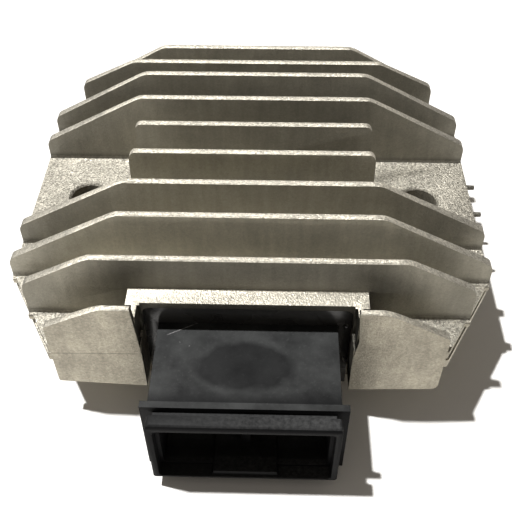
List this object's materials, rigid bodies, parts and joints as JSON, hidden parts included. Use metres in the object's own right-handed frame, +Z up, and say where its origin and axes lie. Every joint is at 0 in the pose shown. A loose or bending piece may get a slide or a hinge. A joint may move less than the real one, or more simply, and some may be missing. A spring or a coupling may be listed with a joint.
{
  "type": "voltage regulator rectifier",
  "caption": "Finned die-cast engine voltage regulator rectifier with a plug socket, potted electronics and a pair of bolt ears.",
  "frame": {"origin": "centre of the line between the two mounting holes, on the mounting face", "axes": "+Z up through the fins, -Y out of the plug socket, +X along the fins to the right when the socket faces the viewer"},
  "size_m": [0.085, 0.0879, 0.0322],
  "materials": {
    "cast_aluminium": "die-cast aluminium with a fine shot-blasted grain, bare, with worn bright edges",
    "socket_plastic": "black glass-filled nylon, matt, dusty on top",
    "potting_epoxy": "black cast epoxy, smooth with a soft sheen",
    "adhesive_film": "white heat-conducting adhesive film",
    "board_aluminium": "insulated aluminium board, satin",
    "package_moulding": "black moulded semiconductor package",
    "bar_copper": "copper strip, lightly tarnished",
    "board_laminate": "green lacquered circuit board laminate",
    "diode_glass": "orange glass diode body",
    "capacitor_can": "bare aluminium can",
    "resistor_body": "black resistor chip",
    "tinned_brass": "tin-plated brass blade, satin"
  },
  "bodies": {
    "root": {"housing": "cast_aluminium", "connector_housing": "socket_plastic", "potting_compound": "potting_epoxy", "thermal_adhesive": "adhesive_film", "power_board": "board_aluminium", "thyristor_1": "package_moulding", "thyristor_2": "package_moulding", "thyristor_3": "package_moulding", "rectifier_diode_1": "package_moulding", "rectifier_diode_2": "package_moulding", "rectifier_diode_3": "package_moulding", "positive_bus_bar": "bar_copper", "ground_bus_bar": "bar_copper", "control_board": "board_laminate", "zener_diode": "diode_glass", "drive_transistor_1": "package_moulding", "drive_transistor_2": "package_moulding", "drive_transistor_3": "package_moulding", "filter_capacitor": "capacitor_can", "sense_resistor_1": "resistor_body", "sense_resistor_2": "resistor_body", "phase_terminal_1": "tinned_brass", "phase_terminal_2": "tinned_brass", "phase_terminal_3": "tinned_brass", "positive_terminal": "tinned_brass", "ground_terminal": "tinned_brass", "sense_terminal": "tinned_brass"}
  },
  "joints": []
}
